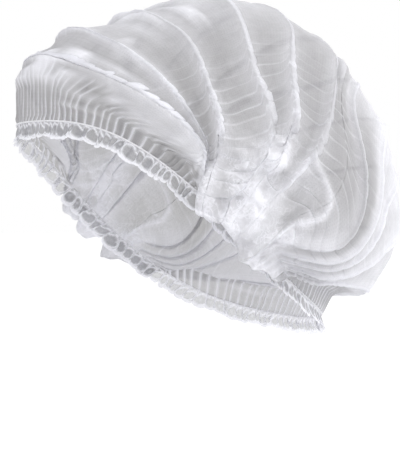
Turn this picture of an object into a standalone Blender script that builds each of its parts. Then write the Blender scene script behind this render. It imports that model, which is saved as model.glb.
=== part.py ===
"""Disposable bouffant cap (hairnet) of thin pleated nonwoven, in the form it has when worn.

Metres, +Z up. The forehead faces -Y and the wearer's left side is +X. The origin is the centre of
the opening that the head goes into. The cap is a strip pleated from ear to ear: every fold runs over
the crown from the left gather to the right gather, and an elastic cord draws the edge in.
"""
import math
from collections import namedtuple

import bpy
import numpy as np
from mathutils import Vector

# Opening: an oval seen from above, high on the forehead and low on the nape.
RIM_HALF_WIDTH = 0.074
RIM_HALF_LENGTH = 0.0875
RIM_HALF_HEIGHT = 0.0600
TEMPLE_RISE = 0.0052
BROW_DIP = 0.0012
END_LIFT = 0.0018

# Crown.
CROWN_REACH = 0.147
SIDE_PUFF = 0.022
FABRIC_WALL = 0.0010
FOLD_STAND = 0.0045
BROW_BULGE = 0.0022
GATHER_PUFF = 0.0080

# Edge.
CORD_RADIUS = 0.0011
SEAM_GAP = 0.0003
FRILL_DROP = 0.0080
FRILL_WAVE = 0.0016
FRILL_FLARE = 0.0015
HEM_GATHER = 0.0007

# Where the folds come together on each side, as angles round the opening from the forehead.
GATHER_FRONT_DEG = 74
GATHER_MIDDLE_DEG = 98
GATHER_REAR_DEG = 122

# Turns out of the gather, where a quarter circle reaches the crown.
GATHER_TURN = 0.30
HEM_TURN = 0.55
PUFF_TURN = 0.80

# A fold is this share of its full height where it enters the gather.
GATHER_STAND = 0.35
FRILL_START = 0.35
HEM_ROWS = 3

# Counts.
CELLS_PER_PANEL = 4
CELLS_TO_CROWN = 20
CORD_POINTS = 72
FRILL_WAVES = 84

# A row for each fold, front to back. top, side and end are its angles in degrees round the line
# between the gathers, at the crown, above the ear and at the gather. reach, puff and stand are
# shares of CROWN_REACH, SIDE_PUFF and FOLD_STAND.
Fold = namedtuple("Fold", "name top side end reach puff stand")
FOLDS = (
    Fold("brow", 45, 53, 58, 0.905, 0.38, 0.8),
    Fold("front", 66, 68, 64, 0.930, 0.75, 1.0),
    Fold("crown_front", 88, 89, 92, 0.945, 1.00, 1.0),
    Fold("crown_middle", 107, 102, 104, 0.970, 1.00, 0.7),
    Fold("crown_rear", 123, 117, 116, 0.975, 1.00, 1.0),
    Fold("leaf", 132, 127, 148, 0.955, 1.00, 0.7),
    Fold("back_upper", 142, 139, 160, 0.925, 1.00, 1.0),
    Fold("back", 154, 153, 168, 0.885, 0.97, 0.9),
    Fold("back_lower", 167, 168, 175, 0.855, 0.90, 0.9),
    Fold("bag", 181, 183, 181, 0.815, 0.80, 0.9),
    Fold("nape", 194, 197, 186, 0.700, 0.62, 0.8),
)
PANELS = len(FOLDS) + 1
SIDE_SHARE = 0.65
END_SHARE = 0.30


def smooth(start, end, value):
    """0 before start, 1 after end, and an even ease between them."""
    share = min(1.0, max(0.0, (value - start) / (end - start)))
    return share * share * (3 - 2 * share)


def rim_point(angle_deg):
    """A point of the opening's edge, angle_deg round from the forehead towards the left side."""
    angle = math.radians(angle_deg)
    rise = RIM_HALF_HEIGHT * math.cos(angle) - TEMPLE_RISE * math.cos(3 * angle)
    lift = END_LIFT * math.cos(2 * angle) - BROW_DIP * math.cos(4 * angle)
    return Vector((RIM_HALF_WIDTH * math.sin(angle), -RIM_HALF_LENGTH * math.cos(angle), rise + lift))


def rim_outward(angle_deg):
    """The level direction that points away from the head at that place."""
    angle = math.radians(angle_deg)
    return Vector((math.sin(angle) / RIM_HALF_WIDTH, -math.cos(angle) / RIM_HALF_LENGTH, 0)).normalized()


def rim_up(angle_deg):
    """The direction square to the edge there that points up into the crown."""
    run = rim_point(angle_deg + 0.5) - rim_point(angle_deg - 0.5)
    return rim_outward(angle_deg).cross(run).normalized()


def hem_point(angle_deg):
    """A point of the crown's lower edge, just above the elastic cord."""
    return rim_point(angle_deg) + rim_up(angle_deg) * (CORD_RADIUS + SEAM_GAP)


def fold_angle(fold, share):
    """A fold's angle where it has come this share of its way out from the line between the gathers."""
    share = max(END_SHARE, share)
    end = (share - SIDE_SHARE) * (share - 1) / ((END_SHARE - SIDE_SHARE) * (END_SHARE - 1))
    side = (share - END_SHARE) * (share - 1) / ((SIDE_SHARE - END_SHARE) * (SIDE_SHARE - 1))
    top = (share - END_SHARE) * (share - SIDE_SHARE) / ((1 - END_SHARE) * (1 - SIDE_SHARE))
    return math.radians(fold.end * end + fold.side * side + fold.top * top)


def fold_point(fold, turn, hem):
    """A point of a fold. turn goes from 0 at the left gather to a quarter circle at the crown."""
    pole = rim_point(GATHER_MIDDLE_DEG)
    share = math.sin(turn)
    angle = fold_angle(fold, share)
    reach = fold.reach * CROWN_REACH * share
    across = pole.x * math.cos(turn) + fold.puff * SIDE_PUFF * math.sin(2 * turn)
    point = Vector((across, pole.y - reach * math.cos(angle), pole.z + reach * math.sin(angle)))
    return point + (hem - pole) * (1 - smooth(0, HEM_TURN, turn))


def section(turn):
    """The points where one ear-to-ear share crosses the front edge, each fold and the nape edge."""
    share = turn / (math.pi / 2)
    points = [hem_point(GATHER_FRONT_DEG * (1 - share))]
    for number, fold in enumerate(FOLDS, 1):
        hem_deg = GATHER_FRONT_DEG + (GATHER_REAR_DEG - GATHER_FRONT_DEG) * number / PANELS
        points.append(fold_point(fold, turn, hem_point(hem_deg)))
    points.append(hem_point(GATHER_REAR_DEG + (180 - GATHER_REAR_DEG) * share))
    return points


def along(points, place):
    """A point on the smooth curve through the given points, place counted in points."""
    number = min(int(place), len(points) - 2)
    share = place - number
    before = points[number - 1] if number else 2 * points[0] - points[1]
    after = points[number + 2] if number + 2 < len(points) else 2 * points[-1] - points[-2]
    first, second = points[number], points[number + 1]
    bend = 2 * before - 5 * first + 4 * second - after
    twist = -before + 3 * first - 3 * second + after
    return (2 * first + (second - before) * share + bend * share**2 + twist * share**3) / 2


def stand_of(number):
    """How far the fold of that number stands out, 0 at the two edges."""
    return FOLDS[number - 1].stand * FOLD_STAND if 0 < number < PANELS else 0.0


def relief(turn, place):
    """How far the fabric stands out from the smooth crown at that place."""
    number = min(int(place), PANELS - 1)
    share = place - number
    ridge = stand_of(number) * (1 - share) ** 4 + stand_of(number + 1) * share**4
    brow = BROW_BULGE * math.sin(math.pi * share) * math.sin(turn) if number == 0 else 0.0
    height = GATHER_STAND + (1 - GATHER_STAND) * smooth(0, HEM_TURN, turn)
    swell = smooth(0, GATHER_TURN, turn) * (1 - smooth(GATHER_TURN, PUFF_TURN, turn))
    return ridge * height + brow + GATHER_PUFF * math.sin(math.pi * place / PANELS) * swell


def hem_ripple(row, column, columns):
    """Small gathers just above the elastic, which alternate from row to row of points."""
    from_edge = min(column, columns - column)
    return HEM_GATHER * (-1) ** row if 0 < from_edge < HEM_ROWS and row else 0.0


def crown_grid():
    """Rows of points of the left half, from the gather to the crown and from forehead to nape."""
    columns = PANELS * CELLS_PER_PANEL
    turns = [math.pi / 2 * row / CELLS_TO_CROWN for row in range(CELLS_TO_CROWN + 1)]
    places = [column / CELLS_PER_PANEL for column in range(columns + 1)]
    rows = []
    for turn in turns:
        points = section(turn)
        rows.append([along(points, place) for place in places])
    grid = np.array([[tuple(point) for point in row] for row in rows])
    along_fold = np.gradient(grid, axis=0)
    across_fold = np.gradient(grid, axis=1)
    outward = np.cross(across_fold, along_fold)
    outward /= np.linalg.norm(outward, axis=2, keepdims=True)
    for row, turn in enumerate(turns):
        for column, place in enumerate(places):
            if row == 0 or column in (0, columns):
                continue
            height = relief(turn, place) + hem_ripple(row, column, columns)
            grid[row, column] += outward[row, column] * height
    grid[-1, :, 0] = 0.0
    return grid


def material(name, colour, roughness):
    """A plain material of that colour and roughness."""
    made = bpy.data.materials.new(name)
    made.use_nodes = True
    shader = made.node_tree.nodes["Principled BSDF"]
    shader.inputs["Base Color"].default_value = (*colour, 1)
    shader.inputs["Roughness"].default_value = roughness
    shader.inputs["Metallic"].default_value = 0.0
    return made


def add_object(name, data, finish, collection):
    """An object with that data and material in the cap's collection."""
    made = bpy.data.objects.new(name, data)
    data.materials.append(finish)
    collection.objects.link(made)
    return made


def lattice(name, points, faces):
    """A mesh of four-cornered faces between the points."""
    mesh = bpy.data.meshes.new(name)
    mesh.from_pydata([tuple(point) for point in points], [], faces)
    mesh.update()
    return mesh


def add_wall(piece, inward):
    """Gives a sheet its thickness."""
    wall = piece.modifiers.new("wall", "SOLIDIFY")
    wall.thickness = FABRIC_WALL
    wall.offset = -1 if inward else 0
    wall.use_even_offset = False


def crown(collection, finish):
    """The pleated crown, a thin shell open where the head goes in."""
    grid = crown_grid()
    rows, columns = grid.shape[:2]
    points = grid.reshape(-1, 3)
    faces = []
    for row in range(rows - 1):
        for column in range(columns - 1):
            corner = row * columns + column
            faces.append((corner, corner + 1, corner + columns + 1, corner + columns))
    piece = add_object("crown", lattice("crown", points, faces), finish, collection)
    halves = piece.modifiers.new("halves", "MIRROR")
    halves.merge_threshold = 0.0001
    add_wall(piece, True)
    return piece


def elastic_cord(collection, finish):
    """The elastic that draws the edge in, one closed loop."""
    curve = bpy.data.curves.new("elastic_cord", "CURVE")
    curve.dimensions = "3D"
    curve.bevel_depth = CORD_RADIUS
    curve.bevel_resolution = 2
    spline = curve.splines.new("POLY")
    spline.points.add(CORD_POINTS - 1)
    spline.use_cyclic_u = True
    for number, point in enumerate(spline.points):
        point.co = (*rim_point(360 * number / CORD_POINTS), 1)
    return add_object("elastic_cord", curve, finish, collection)


def edge_frill(collection, finish):
    """The free edge of the fabric below the elastic, drawn into small waves."""
    columns = 2 * FRILL_WAVES
    top = CORD_RADIUS + SEAM_GAP
    points = []
    for level in (0, 0.5, 1):
        for column in range(columns):
            angle = 360 * column / columns
            wave = FRILL_WAVE * (FRILL_START + (1 - FRILL_START) * level) * (-1) ** column
            out = rim_outward(angle) * (FRILL_FLARE * level + wave)
            points.append(rim_point(angle) + out - rim_up(angle) * (top + FRILL_DROP * level))
    faces = []
    for level in range(2):
        for column in range(columns):
            beside = (column + 1) % columns
            above, below = level * columns, (level + 1) * columns
            faces.append((above + column, below + column, below + beside, above + beside))
    piece = add_object("edge_frill", lattice("edge_frill", points, faces), finish, collection)
    add_wall(piece, False)
    return piece


def main():
    """Clears the scene and builds the cap."""
    for old in list(bpy.data.objects):
        bpy.data.objects.remove(old)
    collection = bpy.data.collections.new("disposable_hairnet")
    bpy.context.scene.collection.children.link(collection)
    fabric = material("nonwoven_white", (0.90, 0.90, 0.93), 0.75)
    frill_fabric = material("nonwoven_edge", (0.93, 0.93, 0.95), 0.75)
    elastic = material("elastic_white", (0.88, 0.88, 0.90), 0.55)
    crown(collection, fabric)
    elastic_cord(collection, elastic)
    edge_frill(collection, frill_fabric)


main()
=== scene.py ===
"""The looks of a disposable bouffant cap: thin white nonwoven, pleated from side to side.

Metres, +Z up. The brow faces -Y and the left side is +X, as in the frame.
"""
import math
from collections import namedtuple
from types import SimpleNamespace

import bpy
import numpy as np
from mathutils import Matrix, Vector

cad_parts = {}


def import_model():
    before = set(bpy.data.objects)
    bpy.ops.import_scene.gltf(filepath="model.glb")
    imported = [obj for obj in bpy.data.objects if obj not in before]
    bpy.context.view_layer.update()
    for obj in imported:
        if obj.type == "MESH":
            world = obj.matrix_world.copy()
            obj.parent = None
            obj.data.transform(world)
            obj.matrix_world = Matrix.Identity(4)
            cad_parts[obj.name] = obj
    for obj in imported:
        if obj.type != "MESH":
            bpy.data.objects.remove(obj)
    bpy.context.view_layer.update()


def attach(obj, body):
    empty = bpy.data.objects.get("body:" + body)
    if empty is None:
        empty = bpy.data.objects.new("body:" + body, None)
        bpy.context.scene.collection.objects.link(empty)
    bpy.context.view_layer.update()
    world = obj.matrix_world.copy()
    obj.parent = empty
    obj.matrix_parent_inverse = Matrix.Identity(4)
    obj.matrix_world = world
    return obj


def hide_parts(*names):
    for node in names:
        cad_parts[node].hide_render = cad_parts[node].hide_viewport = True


# The opening and the crown, as in the frame.
RIM_HALF_WIDTH = 0.074
RIM_HALF_LENGTH = 0.0875
RIM_HALF_HEIGHT = 0.0600
TEMPLE_RISE = 0.0052
BROW_DIP = 0.0012
END_LIFT = 0.0018
CROWN_REACH = 0.147
SIDE_PUFF = 0.022
FOLD_STAND = 0.0045
BROW_BULGE = 0.0022
GATHER_PUFF = 0.0080
GATHER_STAND = 0.22
GATHER_FRONT = math.radians(74)
GATHER_MIDDLE = math.radians(98)
GATHER_REAR = math.radians(107)
GATHER_TURN = 0.30
HEM_TURN = 0.55
PUFF_TURN = 0.80
END_SHARE = 0.25

# A row for each fold, front to back, as in the frame: angles in degrees, then shares. The last two
# are how wide the lapped crease is, against CREASE_WIDTH, and how deep its scallops are.
Fold = namedtuple("Fold", "name top side end reach puff stand lap hooks")
FOLDS = (
    Fold("brow", 48, 54, 56, 0.927, 0.62, 0.7, 1.1, 1.0),
    Fold("brow_upper", 58, 60, 60.5, 0.932, 0.65, 0.5, 0.5, 0.6),
    Fold("front", 74, 68.5, 62, 0.900, 0.90, 0.9, 0.8, 0.35),
    Fold("crown_front", 91, 87.5, 97, 0.957, 0.92, 1.0, 1.2, 0.45),
    Fold("crown_middle", 106, 100, 104, 0.970, 1.00, 0.6, 0.8, 0.3),
    Fold("crown_rear", 120, 116.5, 117, 0.957, 1.00, 1.0, 1.1, 0.35),
    Fold("back_top", 127, 125, 152, 0.950, 0.98, 0.0, 0.12, 0.0),
    Fold("back_upper", 134, 134, 183, 0.930, 0.93, 0.6, 0.8, 0.3),
    Fold("back", 145, 153, 190, 0.905, 0.90, 0.5, 0.7, 0.3),
    Fold("back_lower", 158, 168, 194.5, 0.875, 0.84, 0.4, 0.6, 0.4),
    Fold("bag", 174, 182, 198, 0.833, 0.78, 0.4, 0.6, 0.5),
    Fold("nape", 194, 196.5, 202, 0.715, 0.62, 0.5, 0.6, 0.6),
)
PANELS = len(FOLDS) + 1

# The crown's cloth: crimped across by even gathers, and lapped at each fold.
GATHERS = 50
GATHER_PITCH = math.pi / GATHERS
GATHER_VARIETY = 0.36
GATHER_SLANT = 0.75
HOOK_DRAG = 0.8
GATHER_ROWS = (0, 0.04, 0.09, 0.17, 0.31, 0.5, 0.69, 0.83, 0.91, 0.96)
PANEL_STEPS = (0.05, 0.13, 0.26, 0.42, 0.58, 0.74, 0.87, 0.95)
NARROW_STEPS = (0.06, 0.22, 0.42, 0.62, 0.82, 0.94)
WIDE_STEPS = (0.03, 0.08, 0.15, 0.23, 0.31, 0.39, 0.47, 0.55, 0.63, 0.72, 0.82, 0.92)
WIDE_PANELS = (3, 6, 7)
NARROW_PANELS = (1, 2, 4, 9, 10, 11)
HEM_STEPS = (0.025, 0.055, 0.09, 0.13, 0.18, 0.24, 0.32, 0.42, 0.55, 0.70, 0.84, 0.94)
LAP_STEPS = (
    (0, 0), (0.45, 0.8), (0.85, 1.0), (1.0, 0.75), (0.88, 0.45), (0.45, 0.30), (0.06, 0.12),
)
CREASE_WIDTH = 0.0036
CREASE_REACH = 0.40
LEAST_WIDTH = 0.002
LAP_HEIGHT = 0.0006
LAP_SWELL = 0.0016
SEAM_REACH = 0.0004
THINNEST = -0.35
MOST_COVER = 0.97

# How high the crown's cloth stands: its crimps, its pillows, and the seams of its lobes.
CRIMP_HEIGHT = 0.00055
CROWN_PILLOW = 0.0002
SIDE_PILLOW = 0.0004
HEM_PILLOW = 0.0012
DEEP_PILLOW = 0.0010
LOBE_HEIGHT = 0.0026
SEAM_HEIGHT = 0.0020
SLIP = 0.0026

# The slack cloth, its wrinkles, and the heap at each side.
SAG_HEIGHT = 0.0013
WRINKLE_HEIGHT = 0.0012
PUFF_HEIGHT = 0.0038
WISP_HEIGHT = 0.0014
OVERHANG = 0.0070
POCKET_DEPTH = 0.0040
LEAF_HEIGHT = 0.0016
LEAF_EDGE_WIDTH = 0.0019
LEAF_STOPS = 50
LEAF_PANELS = (6, 7)
CUFF_WIDTH = 0.0035

# The elastic and the ruffle below it.
ELASTIC_RADIUS = 0.00042
ELASTIC_ROWS = 900
ELASTIC_SIDES = 8
ELASTIC_STAND = 0.0009
ELASTIC_PINCH = 0.00025
YARN_LENGTH = 0.52
YARN_GIRTH = 0.0035
FRILL_LEVELS = 16
FRILL_DROP = 0.0094
FRILL_SHARES = (0, 0.05, 0.12, 0.22, 0.34, 0.5, 0.66, 0.78, 0.88, 0.95)
SIDE_LOOPS = 10
HEM_BAND = 0.0100
BROW_BAND = 0.026
NAPE_BAND = 0.017
STRAIGHT_REACH = 0.012
NAPE_TUCK = 0.008

# Hollows in front of the leaf fold: the turn from the end, the place, and the size.
POCKETS = ((0.26, 6.35, 0.0060), (0.20, 6.85, 0.0050))
# The edge of the loose flap round them, in turns from the end and places.
LEAF = (
    (0.41, 5.95), (0.39, 6.1), (0.37, 6.4), (0.35, 6.8), (0.33, 7.08),
    (0.29, 7.25), (0.25, 7.3), (0.19, 7.3), (0.13, 7.2),
)

# How far the bunch hangs over the elastic, at places along its folds.
HANG = (
    (0, 0.001), (1.5, 0.002), (3, 0.012), (5, 0.022),
    (7, 0.026), (8, 0.017), (10, 0.007), (13, 0.003),
)

# How many different values the soft random hills have along each side.
NOISE_CELLS = 64
# The small turn and the share of a panel over which a direction is measured.
SMALL_TURN = 0.01
SMALL_STEP = 0.02
# Further from the hem than any cloth, as a share of a panel.
FAR = 9

# The camera: the angle round from the brow, and how far and how large it sees the cap.
VIEW_DEG = 61
VIEW_DISTANCE = 1.10
FRAME_PIXELS = 400
SENSOR_WIDTH = 36
METRES_PER_PIXEL = 0.00057
LOOK_AT = Vector((-0.0026, 0.0203, -0.0025))


def smooth(start, end, value):
    """0 before start, 1 after end, and an even ease between them."""
    share = np.clip((value - start) / (end - start), 0, 1)
    return share * share * (3 - 2 * share)


def noise(across, along, seed):
    """Soft random hills from -1 to 1, one for each unit of the two coordinates."""
    table = np.random.default_rng(seed).uniform(-1, 1, (NOISE_CELLS, NOISE_CELLS))
    column, row = np.floor(across).astype(int), np.floor(along).astype(int)
    right, up = smooth(0, 1, across - column), smooth(0, 1, along - row)
    here, beside = column % NOISE_CELLS, (column + 1) % NOISE_CELLS
    below, above = row % NOISE_CELLS, (row + 1) % NOISE_CELLS
    low = table[here, below] * (1 - right) + table[beside, below] * right
    high = table[here, above] * (1 - right) + table[beside, above] * right
    return low * (1 - up) + high * up


def layered_noise(across, along, seed, layers=3):
    """Hills with smaller hills on them."""
    total = 0
    for layer in range(layers):
        total = total + noise(across * 2**layer, along * 2**layer, seed + layer) / 2**layer
    return total


def unit(vectors):
    """Vectors made one long."""
    return vectors / np.maximum(np.linalg.norm(vectors, axis=-1, keepdims=True), 1e-12)


def rim(angle):
    """The opening's edge, at an angle round from the brow towards the left side."""
    rise = RIM_HALF_HEIGHT * np.cos(angle) - TEMPLE_RISE * np.cos(3 * angle)
    lift = END_LIFT * np.cos(2 * angle) - BROW_DIP * np.cos(4 * angle)
    across, along = RIM_HALF_WIDTH * np.sin(angle), -RIM_HALF_LENGTH * np.cos(angle)
    return np.stack([across, along, rise + lift], -1)


def rim_directions(angle):
    """The ways along the edge, out from the opening, and up into the crown."""
    run = unit(rim(angle + SMALL_TURN) - rim(angle - SMALL_TURN))
    flat = [np.sin(angle) / RIM_HALF_WIDTH, -np.cos(angle) / RIM_HALF_LENGTH, 0 * angle]
    out = unit(np.stack(flat, -1))
    return run, out, unit(np.cross(out, run))


def hem(angle):
    """The crown's lower edge, behind the elastic."""
    return rim(angle) + rim_directions(angle)[2] * SEAM_REACH


def fold_angle(fold, share):
    """A fold's angle where it has come this share of its way out."""
    way = np.clip((1 - share) / (1 - END_SHARE), 0, 1)
    bulge = 16 * way**2 * (1 - way) ** 2
    side = fold.side - (fold.top + fold.end) / 2
    return np.radians(fold.top + (fold.end - fold.top) * smooth(0, 1, way) + side * bulge)


def sections(turns):
    """For each turn, the points where it crosses the front edge, each fold and the nape edge."""
    share = turns / (math.pi / 2)
    from_end = np.minimum(turns, math.pi - turns)
    side = np.where(turns > math.pi / 2, -1.0, 1.0)
    pole = rim(np.array(GATHER_MIDDLE))
    lines = [hem(GATHER_FRONT * (1 - share))]
    for number, fold in enumerate(FOLDS, 1):
        out = np.sin(turns)
        angle = fold_angle(fold, out)
        reach = fold.reach * CROWN_REACH * out
        across = pole[0] * np.cos(turns) + fold.puff * SIDE_PUFF * np.sin(2 * turns)
        along, up = pole[1] - reach * np.cos(angle), pole[2] + reach * np.sin(angle)
        line = np.stack([across, along, up], -1)
        start = hem(np.array(GATHER_FRONT + (GATHER_REAR - GATHER_FRONT) * number / PANELS)) - pole
        shift = np.stack([start[0] * side, 0 * side + start[1], 0 * side + start[2]], -1)
        lines.append(line + shift * (1 - smooth(0, HEM_TURN, from_end))[:, None])
    lines.append(hem(GATHER_REAR + (math.pi - GATHER_REAR) * share))
    return np.stack(lines, 1)


def ground(turns, places):
    """The smooth crown under its folds, at each turn and place."""
    shape = turns.shape
    lines = sections(turns.ravel())
    ahead, past = 2 * lines[:, :1] - lines[:, 1:2], 2 * lines[:, -1:] - lines[:, -2:-1]
    lines = np.concatenate([ahead, lines, past], 1)
    flat = places.ravel()
    number = np.clip(np.floor(flat).astype(int), 0, PANELS - 1)
    share = (flat - number)[:, None]
    each = np.arange(len(flat))
    before, first, second, after = (lines[each, number + step] for step in range(4))
    back, here, on = first - before, second - first, after - second
    steps = (back, here, on)
    long_back, long, long_on = (np.linalg.norm(step, axis=1, keepdims=True) for step in steps)
    leave = long * (back / long_back - (back + here) / (long_back + long)) + here
    arrive = here + long * (on / long_on - (here + on) / (long + long_on))
    bend, twist = 3 * here - 2 * leave - arrive, leave + arrive - 2 * here
    points = first + leave * share + bend * share**2 + twist * share**3
    return points.reshape(*shape, 3)


def gather_lines():
    """The turns of the gathers' crests from side to side, unevenly spaced."""
    widths = 1 + GATHER_VARIETY * np.random.default_rng(3).uniform(-1, 1, GATHERS)
    return math.pi * np.concatenate([[0], np.cumsum(widths)]) / widths.sum()


def swerve(turn, place):
    """How far a gather strays along the folds, as it zigzags from one fold to the next."""
    inside = np.clip(place, 0, PANELS - 1e-6)
    number = np.floor(inside)
    zigzag = np.where(number % 2 == 0, 1, -1) * (inside - number - 0.5)
    from_end = np.minimum(turn, math.pi - turn)
    fade = smooth(0, 0.35, from_end)
    waver = 0.6 * noise(turn * 3, place * 0.7, 21) + 0.22 * noise(turn * 8, place * 1.6, 22)
    # Towards the sides each gather starts as a hook that is dragged down the fold.
    share = inside - number
    root = np.where(number > 0, np.exp(-share / 0.13), 0)
    root = root + np.where(number < PANELS - 1, np.exp((share - 1) / 0.05), 0)
    drag = HOOK_DRAG * root * smooth(0.18, 0.35, from_end) * (1 - smooth(0.75, 1.15, from_end))
    drag = drag * (1 - smooth(6, 7, place))
    drag = np.where(turn > math.pi / 2, -drag, drag)
    return GATHER_PITCH * (fade * (GATHER_SLANT * zigzag + waver) + drag)


def pinches():
    """The angles where each gather of the crown meets the front edge and the nape edge."""
    crests = gather_lines()
    at_front = crests + swerve(crests, 0 * crests)
    at_back = crests + swerve(crests, 0 * crests + PANELS)
    front = GATHER_FRONT * (1 - at_front / (math.pi / 2))
    back = GATHER_REAR + (math.pi - GATHER_REAR) * at_back / (math.pi / 2)
    return front, back


def foot_angle(points):
    """The angle of the place on the opening's edge that is nearest to each point."""
    angle = np.arctan2(points[..., 0] / RIM_HALF_WIDTH, -points[..., 1] / RIM_HALF_LENGTH)
    for _ in range(4):
        way = (rim(angle + SMALL_TURN) - rim(angle - SMALL_TURN)) / (2 * SMALL_TURN)
        angle = angle + ((points - rim(angle)) * way).sum(-1) / (way * way).sum(-1)
    return angle


def loop_phase(angle):
    """How far an angle is between two pinches of the hem, from 0 to 1."""
    edges = loop_edges()
    angle = edges[0] + (angle - edges[0]) % (2 * math.pi)
    return np.interp(angle, np.append(edges, edges[0] + 2 * math.pi), np.arange(len(edges) + 1)) % 1


def square_to_hem(turn, turns, place, number, width):
    """The turns again, led straight up from the hem before they slant away to the first fold."""
    turns = turns.copy()
    for panel, edge, angle in ((0, 0, GATHER_FRONT), (PANELS - 1, PANELS, GATHER_REAR)):
        start = turn[:, 0] + swerve(turn[:, 0], 0 * turn[:, 0] + edge)
        at_edge = angle + ((math.pi if edge else 0) - angle) * start / (math.pi / 2)
        for column in np.flatnonzero(number[0] == panel):
            past = place[0, column] > panel + 1
            if past or (panel == PANELS - 1 and place[:, column].min() < panel):
                continue
            foot = foot_angle(ground(turn[:, 0], place[:, column]))
            foot = foot % (2 * math.pi) if edge else foot
            order = np.argsort(foot)
            straight = np.interp(at_edge, foot[order], turn[order, 0])
            away = place[:, column] - panel
            away = 1 - away if edge else away
            hold = np.minimum(STRAIGHT_REACH / width[:, column], 0.6)
            share_of_way = 1 - smooth(hold, 1.0, away)
            turns[:, column] += (straight - turns[:, column]) * share_of_way
    return turns


def panel_steps(panel):
    """Where a panel's columns lie across it, closest together at the hem."""
    if panel == 0:
        return HEM_STEPS
    if panel == PANELS - 1:
        return [1 - part for part in reversed(HEM_STEPS)]
    if panel in WIDE_PANELS:
        return WIDE_STEPS
    return NARROW_STEPS if panel in NARROW_PANELS else PANEL_STEPS


def crown_grid():
    """The crown's rows from side to side and its columns from brow to nape, not yet laid out."""
    crests = gather_lines()
    rows = [
        crests[k] + np.array(GATHER_ROWS) * (crests[k + 1] - crests[k]) for k in range(GATHERS)
    ]
    rows = np.append(np.concatenate(rows), math.pi)
    part = np.append(np.tile(GATHER_ROWS, GATHERS), 0.0)[:, None]
    gather = np.append(np.repeat(np.arange(GATHERS), len(GATHER_ROWS)), GATHERS)[:, None]

    # A panel's own steps, then the crease that is lapped over the next panel.
    columns = [(0, 0.0, 0.0, 0.0)]
    for panel in range(PANELS):
        columns += [(panel, step, 0.0, 0.0) for step in panel_steps(panel)]
        if panel < PANELS - 1:
            columns += [(panel + 1, 0.0, reach, height) for reach, height in LAP_STEPS]
    columns.append((PANELS - 1, 1.0, 0.0, 0.0))
    number, step, lap, lift = (np.array(column)[None, :] for column in zip(*columns))

    turn = rows[:, None]
    from_end = np.minimum(turn, math.pi - turn)
    crest = np.minimum(part, 1 - part)
    widths = np.linalg.norm(np.diff(sections(rows), axis=1), axis=2)
    return SimpleNamespace(
        turn=turn,
        from_end=from_end,
        gather=gather,
        crest=crest,
        pillow=1 - (1 - 2 * crest) ** 3,
        hook=2.6 * part**0.45 * (1 - part) ** 1.25,
        hook_sizes=np.random.default_rng(11).uniform(0.15, 1.60, (GATHERS + 1, PANELS + 1)),
        near_end=1 - smooth(0.20, 0.55, from_end),
        middle=smooth(0.50, 1.15, from_end),
        number=number,
        step=step,
        lap=lap,
        lift=lift,
        width=np.maximum(widths[:, number[0]], LEAST_WIDTH),
    )


def bunch_edge(place):
    """How many turns from the end the bunch at each side reaches."""
    return 0.54 - 0.30 * smooth(4.6, 6.4, place) - 0.12 * smooth(7.5, 9.5, place)


def lap_creases(cloth):
    """Laps each crease over the next panel: smoothly over the crown, in hooked scallops below."""
    number, from_end = cloth.number, cloth.from_end
    lapped = np.where(cloth.lap > 0, number, 0)
    sizes = np.array([0.0] + [fold.lap for fold in FOLDS])[lapped]
    hooks = np.array([0.0] + [fold.hooks for fold in FOLDS])[lapped]
    hooks = hooks * (1 - smooth(0.55, 1.05, from_end - 0.25 * (lapped == 1)))
    shape = 0.5 * cloth.hook + 0.5 * cloth.pillow
    scallop = (1 - 0.6 * hooks) + 0.9 * hooks * shape * cloth.hook_sizes[cloth.gather, lapped]
    even = np.maximum(smooth(0.15, 0.5, from_end), 1 - smooth(3, 4, number))
    scallop = scallop * (1 + 0.35 * noise(cloth.turn * 4, number * 3.7, 51)) * (0.4 + 0.6 * even)
    scallop = scallop * smooth(0.0, 0.12, from_end)
    edge = bunch_edge(number)
    in_bunch = (1 - smooth(0.5 * edge, edge, from_end)) * smooth(0.6, 2.4, number)
    scallop = scallop * (1 - 0.85 * in_bunch * smooth(1.4, 2.6, number))
    reach = sizes * CREASE_WIDTH * (1 + 0.3 * (1 - cloth.middle)) * scallop / cloth.width
    cloth.sizes, cloth.hooks = sizes, hooks
    cloth.place = number + cloth.step + cloth.lap * np.minimum(reach, CREASE_REACH)


def lay_out(cloth):
    """Lays the cloth's points on the smooth crown, with its two directions there."""
    turn, place = cloth.turn, cloth.place
    turns = square_to_hem(turn, turn + swerve(turn, place), place, cloth.number, cloth.width)
    turns = np.clip(turns, 0, math.pi)
    inside = np.clip(place, SMALL_STEP, PANELS - SMALL_STEP)
    safe = np.clip(turns, SMALL_TURN, math.pi - SMALL_TURN)
    across = unit(ground(safe, inside + SMALL_STEP) - ground(safe, inside - SMALL_STEP))
    cloth.along = unit(ground(safe + SMALL_TURN, inside) - ground(safe - SMALL_TURN, inside))
    cloth.normal = unit(np.cross(across, cloth.along))
    cloth.turns = turns
    cloth.points = ground(turns, place)
    cloth.panel = np.clip(np.floor(place + 1e-9).astype(int), 0, PANELS - 1)
    cloth.share = np.clip(place - cloth.panel, 0, 1)


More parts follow.
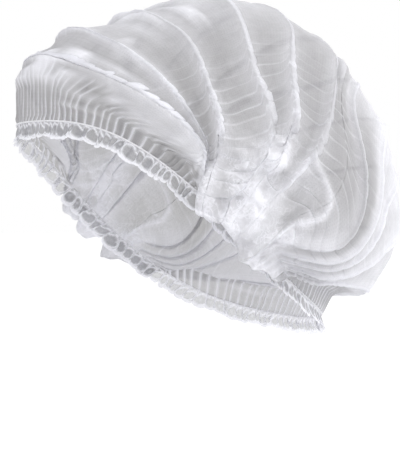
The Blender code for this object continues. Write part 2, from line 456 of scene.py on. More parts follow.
def mark_regions(cloth):
    """Marks the bunch at each side, the cloth beside the ridges, the temples and the hem."""
    place, panel, share, from_end = cloth.place, cloth.panel, cloth.share, cloth.from_end
    edge = bunch_edge(place)
    in_bunch = (1 - smooth(0.5 * edge, edge, from_end)) * smooth(0.6, 2.0, place)
    cloth.in_bunch = in_bunch * smooth(0, 1.5, PANELS - place)
    cloth.bunch = smooth(0.02, 0.08, from_end) * cloth.in_bunch

    # The fold in the middle of the leaf lies flat, so the cloth on its two sides is one panel.
    leaf_share = np.clip((place - LEAF_PANELS[0]) / len(LEAF_PANELS), 0, 1)
    cloth.wide = np.where(np.isin(panel, LEAF_PANELS), leaf_share, share)
    to_ridge = np.minimum(cloth.wide, 1 - cloth.wide)
    cloth.near_ridge = np.exp(-((to_ridge / 0.20) ** 2))

    # Round the opening from the brow, and up from the hem.
    foot = foot_angle(cloth.points)
    round_rim = np.abs((foot + math.pi) % (2 * math.pi) - math.pi)
    temple = smooth(0.55, 0.75, round_rim) * (1 - smooth(1.30, 1.42, round_rim))
    temple = temple * (1 - smooth(1.6, 2.4, place))
    loop = loop_phase(foot)
    cloth.hem_crest = cloth.crest + (np.minimum(loop, 1 - loop) - cloth.crest) * temple
    from_edge = np.where(panel == 0, share, np.where(panel == PANELS - 1, 1 - share, FAR))
    to_hem = from_edge * cloth.width
    rise = np.linalg.norm(cloth.points - hem(foot), axis=-1)
    to_hem = to_hem + (rise - to_hem) * np.where(place < 3, smooth(0.3, 0.6, temple), 0)
    band = BROW_BAND + (HEM_BAND - BROW_BAND) * smooth(0.50, 0.80, round_rim)
    band = band + (NAPE_BAND - HEM_BAND) * smooth(1.85, 2.1, round_rim)
    band = band * (1 + 0.20 * noise(cloth.turns * 14, 0 * place, 25))
    cloth.at_hem = 1 - smooth(band * 0.8, band * 1.3, to_hem)
    cloth.hem_pillow = np.sin(math.pi * cloth.hem_crest) ** 0.6
    cloth.temple, cloth.round_rim, cloth.to_hem, cloth.band = temple, round_rim, to_hem, band


def broad_relief(cloth):
    """How far the folds, the brow and the puffed sides stand out from the smooth crown."""
    place, panel, share, from_end = cloth.place, cloth.panel, cloth.share, cloth.from_end
    stands = np.array([0] + [fold.stand * FOLD_STAND for fold in FOLDS] + [0])
    ridge = stands[panel] * (1 - share) ** 4 + stands[panel + 1] * share**4
    height = GATHER_STAND + (1 - GATHER_STAND) * smooth(0, HEM_TURN, from_end)
    swell = smooth(0, GATHER_TURN, from_end) * (1 - smooth(GATHER_TURN, PUFF_TURN, from_end))
    brow = np.where(panel == 0, 1.0, 0.0) * BROW_BULGE
    brow = brow * np.sin(math.pi * share) * np.sin(cloth.turn)
    calm = 1 - 0.8 * smooth(0.8, 1.25, from_end) * smooth(5.4, 6.4, place)
    puff = GATHER_PUFF * np.sin(math.pi * place / PANELS) * swell
    return ridge * height * calm * (1 - 0.85 * cloth.in_bunch) + brow + puff


def gathered_relief(cloth):
    """Thin crimps over the crown, small pillows at the elastic, deep ones at the sides."""
    turns, place, panel, share = cloth.turns, cloth.place, cloth.panel, cloth.share
    from_end, crest, pillow, middle = cloth.from_end, cloth.crest, cloth.pillow, cloth.middle
    at_hem, to_hem, temple, near_ridge = cloth.at_hem, cloth.to_hem, cloth.temple, cloth.near_ridge
    strength = np.random.default_rng(9).uniform(0.2, 1.3, (GATHERS + 1, PANELS))
    strength = strength[cloth.gather, panel] * (0.75 + 0.6 * noise(turns * 7, place * 2.3, 24))
    crimp = np.exp(-((crest / 0.07) ** 2))
    plain = np.where((panel == 0) | (panel == PANELS - 1), 1 - at_hem, 0)
    plain = plain * (1 - temple * at_hem)

    # The round pillows between the folds, flatter in the bunch.
    lower = 1 - smooth(1.5, 4.5, place) * (1 - 0.3 * smooth(PANELS - 3, PANELS - 1, place))
    rounded = np.sin(math.pi * cloth.wide) ** 0.6
    flatter = (0.62 - rounded) * smooth(0.1, 0.8, cloth.in_bunch)
    rounded = rounded + flatter * (0.55 + 0.45 * smooth(3.5, 5.5, place))
    deep = rounded * cloth.near_end * smooth(0.02, 0.12, from_end) * (0.30 + 0.70 * lower)
    deep = deep * (0.6 + 0.8 * cloth.hook_sizes[cloth.gather, panel] / 1.35)
    lobed = (1 - smooth(3.0, 4.5, place)) * smooth(0.8, 1.4, place) * (1 - at_hem * temple)
    seam = np.exp(-((crest / 0.10) ** 2)) * lobed * deep * (1 - plain)

    # The crimps, which run out from a ridge's foot.
    rear = smooth(4.5, 5.5, place)
    lined = smooth(0.24 - 0.14 * rear, 0.42 - 0.16 * rear, from_end) * (1 - at_hem) * (1 - plain)
    low = (1 - smooth(0.60, 1.0, from_end)) * (1 - 0.75 * smooth(7.0, 8.2, place))
    root = np.exp(-share / 0.16) * np.where(panel > 0, 1, 0) * low
    across_panel = 0.10 + 0.66 * low + 0.30 * near_ridge * (0.15 + 0.85 * low)
    across_panel = across_panel + 0.14 * smooth(6.5, 8.0, place)

    wave = CRIMP_HEIGHT * crimp * strength * across_panel * lined
    wave = wave + CROWN_PILLOW * pillow * middle * (0.5 + near_ridge) * (1 - plain)
    at_seam = smooth(0.0, 0.0025, to_hem)
    bars = HEM_PILLOW * (cloth.hem_pillow - 0.6) * at_hem * (0.25 + 0.75 * at_seam)
    wave = wave + bars * (1 - 0.65 * smooth(0.005, 0.02, to_hem))
    height = DEEP_PILLOW * (1 - at_hem * temple) + LOBE_HEIGHT * lobed
    wave = wave + height * (0.4 * cloth.hook + 0.6 * pillow - 0.6) * deep * (1 - 0.8 * plain)
    wave = wave + SEAM_HEIGHT * seam
    wave = wave + SIDE_PILLOW * (pillow - 0.6) * (1 - middle) * (1 - at_hem) * (1 - plain)

    line = np.exp(-((crest / (0.070 + 0.10 * root)) ** 2)) * (0.75 * strength + 0.45 * root)
    cloth.crimp_lines = line * across_panel * lined
    cloth.rounded, cloth.deep, cloth.lobed, cloth.seam = rounded, deep, lobed, seam
    return wave


def thin_lines(hills, sharpness):
    """Thin curved lines, where soft random hills cross the middle."""
    return np.maximum(0, 1 - sharpness * np.abs(hills))


def wrinkles(cloth):
    """Long soft wrinkles beside the folds, and finer ones on the front of the crown."""
    turns, place, from_end = cloth.turns, cloth.place, cloth.from_end
    found = thin_lines(noise(turns * 1.7, place * 4.6, 35), 3.4) * smooth(0.5, 1.0, from_end)
    found = found * smooth(0.2, 0.6, noise(turns * 1.3, place * 1.1, 36) + 0.5)
    long_hills = noise(turns * 0.9 + 7 + 0.4 * place, place * 4.3, 37)
    fine_hills = noise(turns * 1.3 + 19 - 0.5 * place, place * 7.7, 38)
    for hills, sharpness, weight in ((long_hills, 4.5, 2.2), (fine_hills, 5, 1.8)):
        line = thin_lines(hills, sharpness) * smooth(0.95, 1.30, from_end)
        line = line * (1 - smooth(3.2, 4.4, place)) * smooth(0.45, 0.8, place)
        found = np.maximum(found, weight * line)
    return found


def crumples(points):
    """The puffs and thin wisps of the bunch, alike in all directions seen from the side."""
    back_way, up_way = points[..., 1] / 0.010, points[..., 2] / 0.009
    sway = 0.8 * noise(back_way * 0.5, up_way * 0.5, 47)
    puffs = layered_noise(back_way * 0.9 + sway, up_way * 0.9 - sway, 41, 4)
    wisps = thin_lines(noise(back_way * 1.3 + sway, up_way * 1.6, 42), 4.5)
    more = thin_lines(noise(back_way * 1.9 + 31, up_way * 1.2 + sway, 48), 4.5)
    shown = smooth(-0.6, 0.3, noise(back_way * 0.7, up_way * 0.7 + 11, 49))
    return puffs, np.maximum(wisps, more) * shown


def pockets(cloth):
    """How near each point is to the middle of a hollow in front of the leaf fold."""
    hollow = np.zeros_like(cloth.place)
    for way, spot, size in POCKETS:
        for near in (way, math.pi - way):
            centre = ground(np.array([near]), np.array([float(spot)]))[0]
            distance = np.linalg.norm(cloth.points - centre, axis=-1)
            hollow = np.maximum(hollow, np.exp(-((distance / size) ** 2)))
    return hollow


def leaf_edge(cloth):
    """How near each point is to the edge of the loose flap at each side."""
    distance = np.ones_like(cloth.place)
    stops = np.linspace(0, len(LEAF) - 1, LEAF_STOPS)
    ways, spots = (np.interp(stops, np.arange(len(LEAF)), column) for column in zip(*LEAF))
    for near in (ways, math.pi - ways):
        for stop in ground(near, spots):
            distance = np.minimum(distance, np.linalg.norm(cloth.points - stop, axis=-1))
    return np.exp(-((distance / LEAF_EDGE_WIDTH) ** 2))


def loose_relief(cloth):
    """Slack cloth between the folds, and the heap that hangs over the elastic at each side."""
    turns, place, from_end = cloth.turns, cloth.place, cloth.from_end
    sag = SAG_HEIGHT * layered_noise(turns * 4, place * 1.4, 31) * smooth(0, 0.6, from_end)
    cloth.wrinkle = wrinkles(cloth)
    cloth.puffs, cloth.wisps = crumples(cloth.points)
    cloth.hollow, cloth.leaf = pockets(cloth), leaf_edge(cloth)
    heap = (PUFF_HEIGHT * cloth.puffs + WISP_HEIGHT * cloth.wisps) * cloth.bunch
    hung = smooth(6.0, 8.0, place)
    over = smooth(0.0, 0.07 - 0.04 * hung, from_end)
    over = over * (1 - smooth(0.10 - 0.07 * hung, 0.34 - 0.22 * hung, from_end))
    over = over * smooth(0.6, 1.8, place) * smooth(0, 0.8, PANELS - place)
    uneven = 0.60 + 0.25 * cloth.rounded + 0.25 * noise(turns * 9, place * 1.1, 43)
    cloth.droop = np.interp(place, *zip(*HANG)) * over * uneven
    loose = OVERHANG * over - POCKET_DEPTH * cloth.hollow
    loose = loose + LEAF_HEIGHT * cloth.leaf + WRINKLE_HEIGHT * cloth.wrinkle
    return (sag + heap + loose) * smooth(0, 0.004, cloth.to_hem)


def lifted_laps(cloth):
    """How far the lapped creases stand off the panel that they lie on."""
    place, from_end = cloth.place, cloth.from_end
    flap = np.where(cloth.lap > 0, smooth(0.1, 0.5, cloth.sizes), 0)
    cloth.flap = flap * (1 - smooth(0.05, 0.3, cloth.in_bunch) * smooth(1.6, 2.4, place))
    height = LAP_HEIGHT + LAP_SWELL * (1 - cloth.middle)
    return cloth.lift * height * cloth.flap * smooth(0, 0.10, from_end)


def let_fall(cloth, points):
    """Lets the pillows slip along the folds, the bunch hang down and the nape tuck up."""
    on_right = cloth.turn > math.pi / 2
    slip = SLIP * cloth.hook * cloth.deep * np.where(on_right, 1, -1)
    slip = slip * smooth(0.06, 0.2, cloth.from_end)
    points = points + cloth.along * slip[..., None]
    down = -rim_directions(np.array(GATHER_MIDDLE))[2]
    still = 0 * cloth.turn
    down = np.stack([np.where(on_right, -down[0], down[0]), still + down[1], still + down[2]], -1)
    points = points + down * cloth.droop[..., None]
    from_nape = 1 - cloth.share
    tuck = np.where(cloth.panel == PANELS - 1, 1.0, 0.0) * smooth(0, 0.30, from_nape)
    tuck = tuck * (1 - smooth(0.35, 0.95, from_nape))
    points[..., 2] += NAPE_TUCK * tuck * smooth(0.1, 0.4, cloth.from_end)
    return points


def lay_over(layers, more):
    """Cloth with more of it laid over, towards fully doubled."""
    return layers + (1 - layers) * more


def crown_layers_and_painted_light(cloth):
    """How much cloth lies at each point of the crown, with painted shade and painted light in it: 0
    for one layer, 1 for all white, below 0 for painted shade.
    """
    turns, place, from_end, at_hem = cloth.turns, cloth.place, cloth.from_end, cloth.at_hem
    flap = cloth.flap * (0.7 + 0.3 * smooth(0.1, 0.6, from_end))
    layers = 0.70 * flap + 0.25 * cloth.hooks * np.where(cloth.lap > 0.3, 1, 0)
    layers = np.maximum(layers, 0.80 * cloth.crimp_lines)
    layers = lay_over(layers, np.clip(0.6 * cloth.wrinkle, 0, 1))
    bar = np.exp(-((cloth.hem_crest / 0.15) ** 2)) * at_hem
    layers = lay_over(layers, bar * (0.95 - 0.45 * smooth(0.006, 0.016, cloth.to_hem)))

    # The bunch, and the thinner start of it above.
    fluff = np.clip(0.58 + 0.18 * cloth.puffs + 0.38 * cloth.wisps, 0, 1)
    fluff = fluff * (1 - 0.40 * cloth.pillow * cloth.lobed)
    above = 0.6 * (1 - smooth(0.3, 0.6, from_end)) * smooth(0.3, 1.0, place)
    dense = np.maximum(cloth.in_bunch, above * (1 - smooth(5.5, 6.0, place)))
    # The pockets lose the bunch's whiteness: painted shade in the hollows.
    dense = dense * fluff * (1 - 0.9 * cloth.hollow)
    layers = lay_over(layers, dense * (1 - at_hem * cloth.temple))
    layers = lay_over(layers, np.clip(0.8 * cloth.leaf + 1.2 * cloth.seam, 0, 1))

    # The top and the rear, painted lighter: painted light.
    # Painted light: the crown's top and rear are made whiter.
    painted_top_light = 0.30 * smooth(7.8, 9.8, place) * (1 - at_hem)
    painted_top_light = painted_top_light + 0.36 * smooth(0.85, 1.45, from_end) * smooth(1.2, 2.8, place)
    rear = smooth(6.0, 8.0, place) * (1 - smooth(11, 13, place))
    painted_top_light = painted_top_light + 0.40 * rear * smooth(0.65, 1.15, from_end)
    layers = lay_over(layers, np.clip(painted_top_light, 0, 0.62))
    beside = 0.55 * cloth.near_ridge * (1 - smooth(0.7, 1.4, from_end)) * (1 - at_hem)
    layers = lay_over(layers, beside * (1 - np.exp(-((place - LEAF_PANELS[1]) ** 2) / 0.1)))
    cuff = np.exp(-(((cloth.to_hem - 1.25 * cloth.band) / CUFF_WIDTH) ** 2))
    cuff = cuff * smooth(0.5, 0.9, cloth.round_rim) * (0.5 + 0.5 * noise(turns * 20, place, 46))
    layers = lay_over(layers, 0.6 * np.clip(cuff, 0, 1))

    # What is painted darker, as painted shade: the windows of the hem, the pockets, a band over the
    # rear panels, and the panels beside the bunch.
    thin = 0.26 * smooth(1.9, 2.4, place) * (1 - smooth(5.6, 6.2, place))
    thin = thin * (1 - smooth(0.8, 1.4, from_end)) * (1 - cloth.in_bunch)
    behind = smooth(5.2, 6.2, place) * (1 - smooth(8.6, 9.0, place))
    behind = behind * smooth(0.30, 0.42, from_end) * (1 - smooth(0.6, 1.3, from_end))
    shaded_windows = (0.42 - 0.30 * smooth(8, 11, place)) * at_hem * cloth.hem_pillow
    layers = layers - shaded_windows - 0.30 * cloth.hollow - 0.42 * behind - thin
    return np.clip(layers, THINNEST, 1)


def crown_fluff(cloth):
    """Where thin wisps curl over the cloth: on the bunch and at the lower ends of the folds."""
    place, from_end = cloth.place, cloth.from_end
    beside = np.exp(-cloth.share / 0.30) * smooth(0.8, 1.1, place)
    beside = beside * (1 - smooth(5.8, 6.4, place)) * (1 - smooth(0.75, 1.10, from_end))
    edge = bunch_edge(place)
    rear = (1 - smooth(0.9 * edge, 1.6 * edge, from_end)) * smooth(0.02, 0.08, from_end)
    rear = rear * smooth(4.5, 5.5, place) * (1 - smooth(8, 9, place))
    fluffy = np.maximum(np.maximum(cloth.bunch, 0.6 * rear), 0.75 * beside)
    return fluffy * (1 - cloth.at_hem * cloth.temple)


def crown_cloth():
    """The pleated, gathered crown: a grid of points, with the layers, painted shade and painted
    light, and the fluff at each.
    """
    cloth = crown_grid()
    lap_creases(cloth)
    lay_out(cloth)
    mark_regions(cloth)
    wave = gathered_relief(cloth)
    height = (broad_relief(cloth) + loose_relief(cloth) + wave) + lifted_laps(cloth)
    points = let_fall(cloth, cloth.points + cloth.normal * height[..., None])
    return points, crown_layers_and_painted_light(cloth), crown_fluff(cloth)


def sheet_mesh(name, points, layers, fluffy, closed=False):
    """A sheet through a grid of points, with its flat map in metres, its layers and its fluff."""
    rows, columns = points.shape[:2]
    corner = np.arange(rows * columns).reshape(rows, columns)
    if closed:
        corner = np.concatenate([corner, corner[:1]], 0)
    quads = [corner[:-1, :-1], corner[:-1, 1:], corner[1:, 1:], corner[1:, :-1]]
    quads = np.stack(quads, -1).reshape(-1, 4)
    mesh = bpy.data.meshes.new(name)
    mesh.from_pydata(points.reshape(-1, 3).tolist(), [], quads.tolist())
    ring = np.concatenate([points, points[:1]], 0) if closed else points
    across = np.cumsum(np.pad(np.linalg.norm(np.diff(ring, axis=1), axis=2), ((0, 0), (1, 0))), 1)
    along = np.cumsum(np.pad(np.linalg.norm(np.diff(ring, axis=0), axis=2), ((1, 0), (0, 0))), 0)
    along = along.mean(1, keepdims=True) + 0 * along
    across = across.mean(0, keepdims=True) + 0 * across
    flat = np.stack([along, across], -1)
    cells = np.stack([flat[:-1, :-1], flat[:-1, 1:], flat[1:, 1:], flat[1:, :-1]], 2).reshape(-1, 2)
    layer = mesh.uv_layers.new(name="cloth")
    layer.data.foreach_set("uv", cells.astype(np.float32).ravel())
    for key, values in (("layers", layers), ("fluffy", fluffy)):
        attribute = mesh.attributes.new(key, "FLOAT", "POINT")
        attribute.data.foreach_set("value", values.astype(np.float32).ravel())
    mesh.shade_smooth()
    mesh.update()
    piece = bpy.data.objects.new(name, mesh)
    bpy.context.scene.collection.objects.link(piece)
    return piece


def loop_edges():
    """The angles round the opening where the ruffle is pinched, below the crown's gathers."""
    front, back = pinches()
    side = np.linspace(GATHER_FRONT, GATHER_REAR, SIDE_LOOPS + 1)[1:-1]
    right = 2 * math.pi - side
    last = 2 * math.pi + front[front < 0][::-1]
    return np.concatenate([front[front >= 0][::-1], side, back, right[::-1], last])


def frill_cloth():
    """The free edge below the elastic, a ruffle of small loops, with the layers at each point."""
    edges = loop_edges()
    ends = np.append(edges[1:], edges[0] + 2 * math.pi)
    shares = np.array(FRILL_SHARES)
    angle = (edges[:, None] + (ends - edges)[:, None] * shares).ravel()[:, None]
    share = np.tile(shares, len(edges))[:, None]
    width = np.repeat((ends - edges) * 0.083, len(shares))[:, None]
    size = np.random.default_rng(5).uniform(0.7, 1.25, len(edges))
    lean = np.random.default_rng(6).uniform(-1, 1, len(edges))
    size = np.repeat(size, len(shares))[:, None]
    lean = np.interp(angle[:, 0], edges, lean, period=2 * math.pi)[:, None]
    level = np.linspace(0, 1, FRILL_LEVELS + 1)[None, :]
    run, out, up = (way[:, None, :] for way in rim_directions(angle[:, 0]))
    place = rim(angle[:, 0])[:, None, :]
    round_way = angle / (2 * math.pi) * 60
    loop = np.sin(math.pi * share) ** 0.7
    crest = np.minimum(share, 1 - share)
    swing = width * size * (0.12 + 0.50 * level**0.7)
    stick = swing * (loop - 0.45) + 0.0010 * level + 0.0006 * noise(round_way * 1.3, 2 * level, 63)
    slide = 0.60 * width * level * (lean + 0.5 * noise(round_way * 0.7, 0 * round_way, 62))
    slide = slide - 0.32 * width * level * np.sin(2 * math.pi * share)
    uneven = 0.60 + 0.42 * loop + 0.12 * noise(round_way * 1.8, 0 * round_way, 64)
    drop = FRILL_DROP * level * uneven - SEAM_REACH
    curl = 0.0009 * smooth(0.82, 1.0, level) * size
    points = place + out * (stick + curl)[..., None] + run * slide[..., None] - up * drop[..., None]
    tilt = 0.55 * (level - 0.5) * (0.6 + lean) + 0.10 * noise(round_way * 2.1, 3 * level, 65)
    sideways = (share - 0.5 - tilt) / (0.30 + 0.10 * size)
    upward = (level - 0.50 - 0.06 * lean) / (0.34 + 0.06 * size)
    ring = np.hypot(sideways, upward) + 0.16 * noise(round_way * 6, 7 * level, 66)
    layers = 0.9 * np.exp(-((crest / 0.12) ** 2))
    layers = np.maximum(layers, 1.1 * smooth(0.80, 0.92, level))
    layers = np.maximum(layers, 1.0 * np.exp(-(((ring - 1) / 0.19) ** 2)))
    slanted = np.exp(-(((share - 0.25 - 0.5 * level) / 0.06) ** 2)) * 1.3 * (size - 0.75)
    layers = np.maximum(layers, slanted)
    other = 0.8 * np.exp(-(((share - 0.70 + 0.5 * level) / 0.05) ** 2)) * smooth(0.2, 0.7, -lean)
    layers = np.maximum(layers, other)
    layers = np.maximum(layers, 0.6 * (1 - smooth(0.02, 0.12, level)))
    at_nape = smooth(1.8, 2.1, np.abs((angle + math.pi) % (2 * math.pi) - math.pi))
    layers = layers + 0.35 * at_nape
    # Inside each loop the cloth is painted darker: painted shade in the loop's hollow.
    return points, np.clip(layers - 0.55 * (1 - smooth(0.55, 0.85, ring)), THINNEST, 1), 0 * layers


def elastic_tube():
    """The round elastic thread that lies in the gathers, pinched a little at each of them."""
    angle = np.linspace(0, 2 * math.pi, ELASTIC_ROWS, endpoint=False)
    phase = loop_phase(angle)
    around = np.linspace(0, 2 * math.pi, ELASTIC_SIDES, endpoint=False)[None, :]
    _, out, up = (way[:, None, :] for way in rim_directions(angle))
    thick = (ELASTIC_RADIUS * (1 + 0.12 * np.cos(2 * math.pi * phase)))[:, None]
    pinch = ELASTIC_STAND + ELASTIC_PINCH * np.cos(2 * math.pi * phase)
    centre = rim(angle)[:, None, :] + out * pinch[:, None, None]
    points = centre + out * (thick * np.cos(around))[..., None]
    points = points + up * (thick * np.sin(around))[..., None]
    mesh = bpy.data.meshes.new("elastic_thread")
    corner = np.arange(ELASTIC_ROWS * ELASTIC_SIDES).reshape(ELASTIC_ROWS, ELASTIC_SIDES)
    after, beside = np.roll(corner, -1, 0), np.roll(corner, -1, 1)
    quads = np.stack([corner, after, np.roll(after, -1, 1), beside], -1).reshape(-1, 4)
    mesh.from_pydata(points.reshape(-1, 3).tolist(), [], quads.tolist())
    layer = mesh.uv_layers.new(name="cloth")
    length = np.linspace(0, YARN_LENGTH, ELASTIC_ROWS + 1)
    girth = np.linspace(0, YARN_GIRTH, ELASTIC_SIDES + 1)
    row, side = (part.ravel() for part in np.indices((ELASTIC_ROWS, ELASTIC_SIDES)))
    corners = ((0, 0), (1, 0), (1, 1), (0, 1))
    cells = [np.stack([length[row + on], girth[side + over]], -1) for on, over in corners]
    cells = np.stack(cells, 1)
    layer.data.foreach_set("uv", cells.astype(np.float32).ravel())
    mesh.shade_smooth()
    mesh.update()
    piece = bpy.data.objects.new("elastic_thread", mesh)
    bpy.context.scene.collection.objects.link(piece)
    return piece


def new_material(name):
    """An empty node material and its node tree."""
    material = bpy.data.materials.new(name)
    material.use_nodes = True
    tree = material.node_tree
    tree.nodes.clear()
    return material, tree


def node(tree, kind, **values):
    """A node with its settings and the values of its sockets."""
    made = tree.nodes.new(kind)
    for key, value in values.items():
        if hasattr(made, key):
            setattr(made, key, value)
        else:
            made.inputs[key.replace("_", " ").title()].default_value = value
    return made


def math_node(tree, operation, first, second, third=None):
    """A sum, product or like of values or sockets."""
    made = tree.nodes.new("ShaderNodeMath")
    made.operation = operation
    for socket, value in zip(made.inputs, (first, second, third)):
        if isinstance(value, (int, float)):
            socket.default_value = value
        elif value is not None:
            tree.links.new(value, socket)
    return made.outputs[0]


def blend(tree, factor, low, high):
    """A colour between two, by a socket."""
    made = node(tree, "ShaderNodeMix", data_type="RGBA")
    tree.links.new(factor, made.inputs["Factor"])
    made.inputs[6].default_value = (*low, 1)
    made.inputs[7].default_value = (*high, 1)
    return made.outputs[2]


def nonwoven(name, cover, shaded_single, doubled):
    """Thin spunbonded fibre sheet: cloudy, with bonded points, painted a grey shade where it lies
    single and white where it lies double.
    """
    material, tree = new_material(name)
    cloth = node(tree, "ShaderNodeUVMap", uv_map="cloth").outputs[0]
    layers = node(tree, "ShaderNodeAttribute", attribute_name="layers").outputs["Fac"]

    def cloud(scale, detail, roughness):
        made = node(tree, "ShaderNodeTexNoise", Scale=scale, Detail=detail, Roughness=roughness)
        tree.links.new(cloth, made.inputs["Vector"])
        return made.outputs["Fac"]

    def plus(first, second):
        return math_node(tree, "ADD", first, second)

    def less(first, second):
        return math_node(tree, "SUBTRACT", first, second)

    def times(first, second):
        return math_node(tree, "MULTIPLY", first, second)

    def scaled(value, factor, rest):
        return math_node(tree, "MULTIPLY_ADD", value, factor, rest)

    formation = cloud(170, 3, 0.6)
    fibres = cloud(1500, 2, 0.7)
    bonds = node(tree, "ShaderNodeTexVoronoi", feature="F1", Scale=700, Randomness=0.12)
    tree.links.new(cloth, bonds.inputs["Vector"])
    bond = math_node(tree, "LESS_THAN", bonds.outputs["Distance"], 0.24)
    grain = plus(times(formation, 0.5), times(fibres, 0.5))
    texture = less(less(grain, 0.5), times(bond, 0.12))

    # Where the cloth is crumpled into a heap, thin curled wisps lie over it.
    fluffy = node(tree, "ShaderNodeAttribute", attribute_name="fluffy").outputs["Fac"]
    place = node(tree, "ShaderNodeTexCoord").outputs["Object"]
    curls = []
    for scale, twist in ((75, 2.2), (120, 1.6)):
        made = node(tree, "ShaderNodeTexNoise", Scale=scale, Detail=2, Roughness=0.5)
        made.inputs["Distortion"].default_value = twist
        tree.links.new(place, made.inputs["Vector"])
        off = math_node(tree, "ABSOLUTE", less(made.outputs["Fac"], 0.5), None)
        curls.append(math_node(tree, "MAXIMUM", scaled(off, -22.0, 1.0), 0.0))
    blotch = node(tree, "ShaderNodeTexNoise", Scale=95, Detail=3, Roughness=0.55)
    tree.links.new(place, blotch.inputs["Vector"])
    here = scaled(blotch.outputs["Fac"], 5.0, -1.9)
    here = math_node(tree, "MAXIMUM", math_node(tree, "MINIMUM", here, 1.0), 0.15)
    wisp = times(times(math_node(tree, "MAXIMUM", *curls), here), fluffy)
    texture = times(texture, scaled(fluffy, -0.6, 1.0))
    density = plus(layers, times(texture, 0.40))
    blotches = times(less(blotch.outputs["Fac"], 0.5), fluffy)
    density = scaled(wisp, 0.36, density)
    density = scaled(blotches, 0.9, density)
    opacity = scaled(density, MOST_COVER - cover, cover)
    opacity = plus(opacity, times(texture, 0.30))
    whole = math_node(tree, "DIVIDE", less(density, THINNEST), 1 - THINNEST)
    # The grey for one layer is painted shade; the white is cloth lying double.
    colour = blend(tree, whole, shaded_single, doubled)

    surface = node(tree, "ShaderNodeBsdfPrincipled")
    tree.links.new(colour, surface.inputs["Base Color"])
    surface.inputs["Roughness"].default_value = 0.70
    surface.inputs["Sheen Weight"].default_value = 0.20
    surface.inputs["Sheen Roughness"].default_value = 0.5
    surface.inputs["Specular IOR Level"].default_value = 0.25
    bump = node(tree, "ShaderNodeBump", Strength=0.25, Distance=0.0003)
    relief = plus(grain, times(math_node(tree, "MAXIMUM", wisp, blotches), 2.0))
    tree.links.new(relief, bump.inputs["Height"])
    tree.links.new(bump.outputs[0], surface.inputs["Normal"])
    glow = node(tree, "ShaderNodeBsdfTranslucent")
    tree.links.new(colour, glow.inputs["Color"])
    lit = node(tree, "ShaderNodeMixShader")
    lit.inputs[0].default_value = 0.30
    tree.links.new(surface.outputs[0], lit.inputs[1])
    tree.links.new(glow.outputs[0], lit.inputs[2])
    clear = node(tree, "ShaderNodeBsdfTransparent")
    sheer = node(tree, "ShaderNodeMixShader")
    tree.links.new(opacity, sheer.inputs[0])
    tree.links.new(clear.outputs[0], sheer.inputs[1])
    tree.links.new(lit.outputs[0], sheer.inputs[2])
    end = node(tree, "ShaderNodeOutputMaterial")
    tree.links.new(sheer.outputs[0], end.inputs["Surface"])
    return material


def wrapped_elastic():
    """A rubber thread wrapped in fine white yarn, with slanting turns."""
    material, tree = new_material("elastic")
    cloth = node(tree, "ShaderNodeUVMap", uv_map="cloth").outputs[0]
    turns = node(tree, "ShaderNodeTexWave", Scale=900, Distortion=1.5, Detail=1)
    turns.bands_direction = "DIAGONAL"
    tree.links.new(cloth, turns.inputs["Vector"])
    surface = node(tree, "ShaderNodeBsdfPrincipled", Roughness=0.6)
    surface.inputs["Sheen Weight"].default_value = 0.3
    colour = blend(tree, turns.outputs["Fac"], (0.74, 0.74, 0.77), (0.90, 0.90, 0.92))
    tree.links.new(colour, surface.inputs["Base Color"])
    bump = node(tree, "ShaderNodeBump", Strength=0.4, Distance=0.0002)
    tree.links.new(turns.outputs["Fac"], bump.inputs["Height"])
    tree.links.new(bump.outputs[0], surface.inputs["Normal"])
    end = node(tree, "ShaderNodeOutputMaterial")
    tree.links.new(surface.outputs[0], end.inputs["Surface"])
    return material


def add_stage():
    """A plain pale floor well below the cap."""
    bpy.ops.object.select_all(action="DESELECT")
    bpy.ops.mesh.primitive_plane_add(size=400, location=(0, 0, -0.45))
    floor = bpy.context.object
    floor.name = "floor"
    material = bpy.data.materials.new("pale_floor")
    material.use_nodes = True
    surface = material.node_tree.nodes["Principled BSDF"]
    surface.inputs["Base Color"].default_value = (0.95, 0.95, 0.95, 1)
    surface.inputs["Roughness"].default_value = 1.0
    surface.inputs["Specular IOR Level"].default_value = 0.0
    floor.data.materials.append(material)


def add_light(name, way, spread_deg, strength):
    """A soft, even light from one side of the studio."""
    light = bpy.data.lights.new(name, "SUN")
    light.angle = math.radians(spread_deg)
    light.energy = strength
    lamp = bpy.data.objects.new(name, light)
    lamp.rotation_euler = Vector(way).to_track_quat("Z", "Y").to_euler()
    bpy.context.scene.collection.objects.link(lamp)


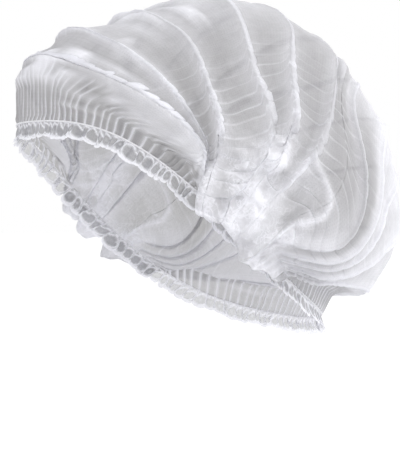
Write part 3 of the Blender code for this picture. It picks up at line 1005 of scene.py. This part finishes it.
def add_camera():
    """The main view: from the left front, level with the opening."""
    scene = bpy.context.scene
    turn = math.radians(VIEW_DEG)
    back = Vector((math.sin(turn), -math.cos(turn), 0))
    data = bpy.data.cameras.new("camera")
    data.sensor_fit = "HORIZONTAL"
    data.sensor_width = SENSOR_WIDTH
    data.lens = data.sensor_width * VIEW_DISTANCE / (FRAME_PIXELS * METRES_PER_PIXEL)
    camera = bpy.data.objects.new("camera", data)
    camera.location = LOOK_AT + back * VIEW_DISTANCE
    camera.rotation_euler = back.to_track_quat("Z", "Y").to_euler()
    scene.collection.objects.link(camera)
    scene.camera = camera


def add_world():
    """Soft white light from all round, in front of a white sweep."""
    scene = bpy.context.scene
    world = bpy.data.worlds.new("studio")
    world.use_nodes = True
    tree = world.node_tree
    tree.nodes.clear()
    seen = node(tree, "ShaderNodeBackground", Strength=1.0)
    seen.inputs["Color"].default_value = (1, 1, 1, 1)
    light = node(tree, "ShaderNodeBackground", Strength=0.50)
    light.inputs["Color"].default_value = (0.97, 0.975, 1.0, 1)
    path = node(tree, "ShaderNodeLightPath")
    mix = node(tree, "ShaderNodeMixShader")
    tree.links.new(path.outputs["Is Camera Ray"], mix.inputs[0])
    tree.links.new(light.outputs[0], mix.inputs[1])
    tree.links.new(seen.outputs[0], mix.inputs[2])
    end = node(tree, "ShaderNodeOutputWorld")
    tree.links.new(mix.outputs[0], end.inputs["Surface"])
    scene.world = world
    scene.view_settings.view_transform = "Standard"


def main():
    """Builds the cap's pieces round the frame, with its lights and camera."""
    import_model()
    # The grey first colour of each fabric is painted shade for single cloth; the second is the
    # white of doubled cloth.
    fabric = nonwoven("nonwoven_fabric", 0.80, (0.37, 0.363, 0.365), (0.93, 0.93, 0.97))
    edge_fabric = nonwoven("nonwoven_edge", 0.66, (0.38, 0.38, 0.39), (0.93, 0.93, 0.97))

    elastic = elastic_tube()
    elastic.data.materials.append(wrapped_elastic())
    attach(elastic, "root")
    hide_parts("elastic_cord")

    crown = sheet_mesh("crown_sheet", *crown_cloth())
    crown.data.materials.append(fabric)
    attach(crown, "root")
    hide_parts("crown")

    frill = sheet_mesh("frill_sheet", *frill_cloth(), closed=True)
    frill.data.materials.append(edge_fabric)
    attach(frill, "root")
    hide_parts("edge_frill")

    add_stage()
    add_light("key", (0.195, -0.68, 0.9), 50, 0.9)
    add_light("side", (0.45, 0.85, 0.45), 45, 2.3)
    add_light("front", (0.87, -0.48, 0.35), 60, 0.8)
    add_world()
    add_camera()


main()
